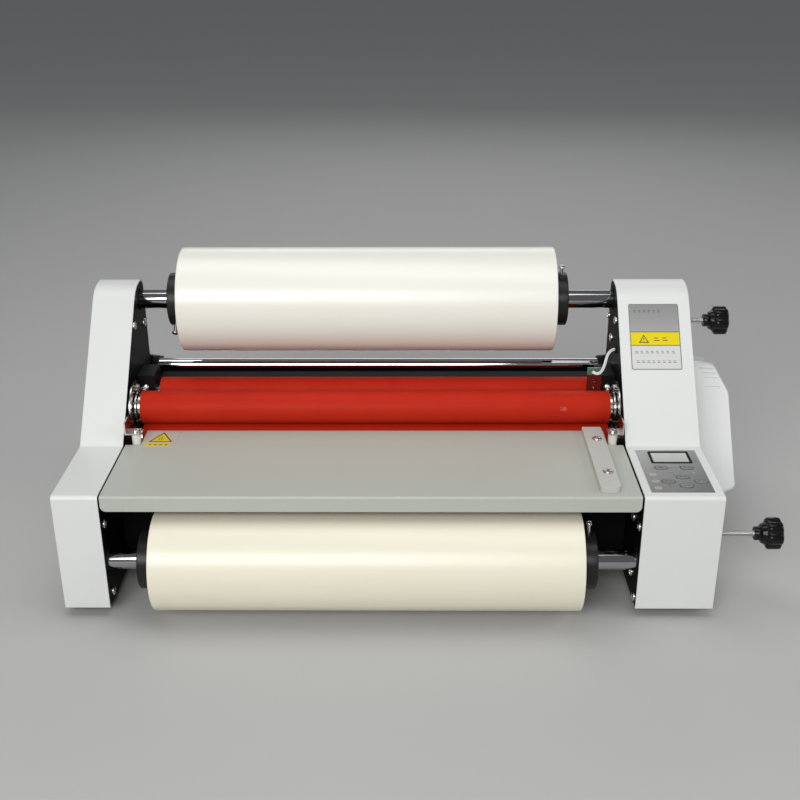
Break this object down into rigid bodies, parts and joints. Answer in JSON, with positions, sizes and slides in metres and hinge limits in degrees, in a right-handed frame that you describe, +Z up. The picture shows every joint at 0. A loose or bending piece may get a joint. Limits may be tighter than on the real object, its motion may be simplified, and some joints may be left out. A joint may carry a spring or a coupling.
{
  "type": "roll laminator",
  "caption": "Desktop roll laminator with two film rolls, heated red silicone rollers, lift-off feed table and control panel.",
  "frame": {"origin": "on the table, below the centre of the object's bounding box", "axes": "+X to the operator's right along the rollers, +Y from the operator to the back, +Z up"},
  "size_m": [0.7234, 0.3759, 0.3122],
  "materials": {
    "white_cover": "fine-textured white powder coat",
    "black_plate": "satin black powder coat",
    "white_plastic": "moulded satin",
    "rubber_foot": "matt",
    "zinc_screw": "bright nickel-plated",
    "silver_overlay": "brushed silver film",
    "display": "clear window over a grey display",
    "circuit_board": "green solder mask",
    "caution_film": "printed polyester film",
    "heat_film": "yellow printed film",
    "bearing_steel": "ground steel",
    "black_plastic": "moulded satin black",
    "spring_steel": "bright",
    "quartz": "clear quartz",
    "ceramic": "unglazed steatite",
    "bracket_steel": "bright stainless",
    "chrome_bar": "polished chrome",
    "white_lead": "white silicone insulation",
    "brake_black": "black oxide",
    "motor_steel": "cast and turned",
    "tray_grey": "light warm grey powder coat",
    "guide_white": "moulded light grey",
    "red_silicone": "ground silicone, satin",
    "gear_steel": "hobbed steel",
    "gear_nylon": "natural nylon",
    "card_core": "spiral-wound card",
    "film": "satin laminating film",
    "knob_black": "moulded phenolic black",
    "key_film": "embossed silver film"
  },
  "bodies": {
    "machine": {"left_side_plate": "black_plate", "right_side_plate": "black_plate", "base_frame": "black_plate", "left_cover": "white_cover", "right_cover": "white_cover", "motor_cover": "white_plastic", "rubber_feet": "rubber_foot", "machine_screws": "zinc_screw", "control_overlay": "silver_overlay", "display_window": "display", "control_board": "circuit_board", "caution_label": "caution_film", "roller_bearings": "bearing_steel", "bearing_blocks": "black_plastic", "pressure_springs": "spring_steel", "heater_lamps": "quartz", "lamp_posts": "ceramic", "lamp_brackets": "bracket_steel", "guide_bar": "chrome_bar", "sensor_board": "circuit_board", "sensor_lead": "white_lead", "plate_bushes": "black_plastic", "tension_brakes": "brake_black", "gear_motor": "motor_steel", "power_inlet": "black_plastic"},
    "feed_table": {"feed_tray": "tray_grey", "side_guide": "guide_white", "guide_screws": "zinc_screw", "heat_label": "heat_film"},
    "front_lower_roller": {"front_lower_sleeve": "red_silicone", "front_lower_tube": "bearing_steel", "front_lower_gear": "gear_steel"},
    "front_upper_roller": {"front_upper_sleeve": "red_silicone", "front_upper_tube": "bearing_steel", "front_upper_gear": "gear_steel"},
    "rear_lower_roller": {"rear_lower_sleeve": "red_silicone", "rear_lower_shaft": "bearing_steel", "rear_lower_gear": "gear_steel"},
    "rear_upper_roller": {"rear_upper_sleeve": "red_silicone", "rear_upper_shaft": "bearing_steel", "rear_upper_gear": "gear_steel"},
    "idler": {"idler_gear": "gear_nylon"},
    "motor_output": {"motor_pinion": "gear_steel"},
    "upper_supply": {"upper_supply_shaft": "chrome_bar", "upper_core_flanges": "black_plastic", "upper_film_core": "card_core", "upper_film_roll": "film"},
    "lower_supply": {"lower_supply_shaft": "chrome_bar", "lower_core_flanges": "black_plastic", "lower_film_core": "card_core", "lower_film_roll": "film"},
    "upper_knob": {"upper_tension_knob": "knob_black"},
    "lower_knob": {"lower_tension_knob": "knob_black"},
    "mains_rocker": {"power_switch": "black_plastic"},
    "mode_button": {"mode_key": "key_film"},
    "power_button": {"power_key": "key_film"},
    "left_button": {"left_key": "key_film"},
    "up_button": {"up_key": "key_film"},
    "right_button": {"right_key": "key_film"},
    "down_button": {"down_key": "key_film"}
  },
  "joints": [
    {"name": "front_lower_spin", "type": "hinge", "parent": "machine", "child": "front_lower_roller", "pos_m": [-0.0483, 0.01555, 0.122], "axis": [1, 0, 0], "continuous": true},
    {"name": "front_upper_spin", "type": "hinge", "parent": "machine", "child": "front_upper_roller", "pos_m": [-0.0483, 0.01555, 0.158], "axis": [1, 0, 0], "continuous": true},
    {"name": "rear_lower_spin", "type": "hinge", "parent": "machine", "child": "rear_lower_roller", "pos_m": [-0.0483, 0.06255, 0.1235], "axis": [1, 0, 0], "continuous": true},
    {"name": "rear_upper_spin", "type": "hinge", "parent": "machine", "child": "rear_upper_roller", "pos_m": [-0.0483, 0.06255, 0.1565], "axis": [1, 0, 0], "continuous": true},
    {"name": "idler_spin", "type": "hinge", "parent": "machine", "child": "idler", "pos_m": [0.2327, 0.04078, 0.10073], "axis": [1, 0, 0], "continuous": true},
    {"name": "motor_spin", "type": "hinge", "parent": "machine", "child": "motor_output", "pos_m": [0.2367, 0.09105, 0.1235], "axis": [1, 0, 0], "continuous": true},
    {"name": "upper_supply_spin", "type": "hinge", "parent": "machine", "child": "upper_supply", "pos_m": [-0.0483, 0.09755, 0.2542], "axis": [1, 0, 0], "continuous": true},
    {"name": "lower_supply_spin", "type": "hinge", "parent": "machine", "child": "lower_supply", "pos_m": [-0.0483, -0.13695, 0.059], "axis": [1, 0, 0], "continuous": true},
    {"name": "upper_tension_turn", "type": "hinge", "parent": "machine", "child": "upper_knob", "pos_m": [0.3217, 0.09055, 0.231], "axis": [1, 0, 0], "range_deg": [-360, 720]},
    {"name": "lower_tension_turn", "type": "hinge", "parent": "machine", "child": "lower_knob", "pos_m": [0.3417, -0.12445, 0.082], "axis": [1, 0, 0], "range_deg": [-360, 720]},
    {"name": "rocker_tilt", "type": "hinge", "parent": "machine", "child": "mains_rocker", "pos_m": [0.2417, 0.17955, 0.075], "axis": [0, 0, 1], "range_deg": [0, 20]},
    {"name": "table_lift_off", "type": "slide", "parent": "machine", "child": "feed_table", "axis": [0, -0.9397, 0.342], "range_m": [0, 0.1]},
    {"name": "mode_press", "type": "slide", "parent": "machine", "child": "mode_button", "axis": [0, 0, -1], "range_m": [0, 0.0004], "stiffness_N_per_m": 400, "springref_m": -0.0002},
    {"name": "power_press", "type": "slide", "parent": "machine", "child": "power_button", "axis": [0, 0, -1], "range_m": [0, 0.0004], "stiffness_N_per_m": 400, "springref_m": -0.0002},
    {"name": "left_press", "type": "slide", "parent": "machine", "child": "left_button", "axis": [0, 0, -1], "range_m": [0, 0.0004], "stiffness_N_per_m": 400, "springref_m": -0.0002},
    {"name": "up_press", "type": "slide", "parent": "machine", "child": "up_button", "axis": [0, 0, -1], "range_m": [0, 0.0004], "stiffness_N_per_m": 400, "springref_m": -0.0002},
    {"name": "right_press", "type": "slide", "parent": "machine", "child": "right_button", "axis": [0, 0, -1], "range_m": [0, 0.0004], "stiffness_N_per_m": 400, "springref_m": -0.0002},
    {"name": "down_press", "type": "slide", "parent": "machine", "child": "down_button", "axis": [0, 0, -1], "range_m": [0, 0.0004], "stiffness_N_per_m": 400, "springref_m": -0.0002}
  ],
  "couplings": [
    {"joint": "front_upper_spin", "follows": "front_lower_spin", "ratio": -1},
    {"joint": "idler_spin", "follows": "front_lower_spin", "ratio": -1.2},
    {"joint": "rear_lower_spin", "follows": "front_lower_spin", "ratio": 1.0909},
    {"joint": "rear_upper_spin", "follows": "front_lower_spin", "ratio": -1.0909},
    {"joint": "motor_spin", "follows": "front_lower_spin", "ratio": -1.5}
  ]
}
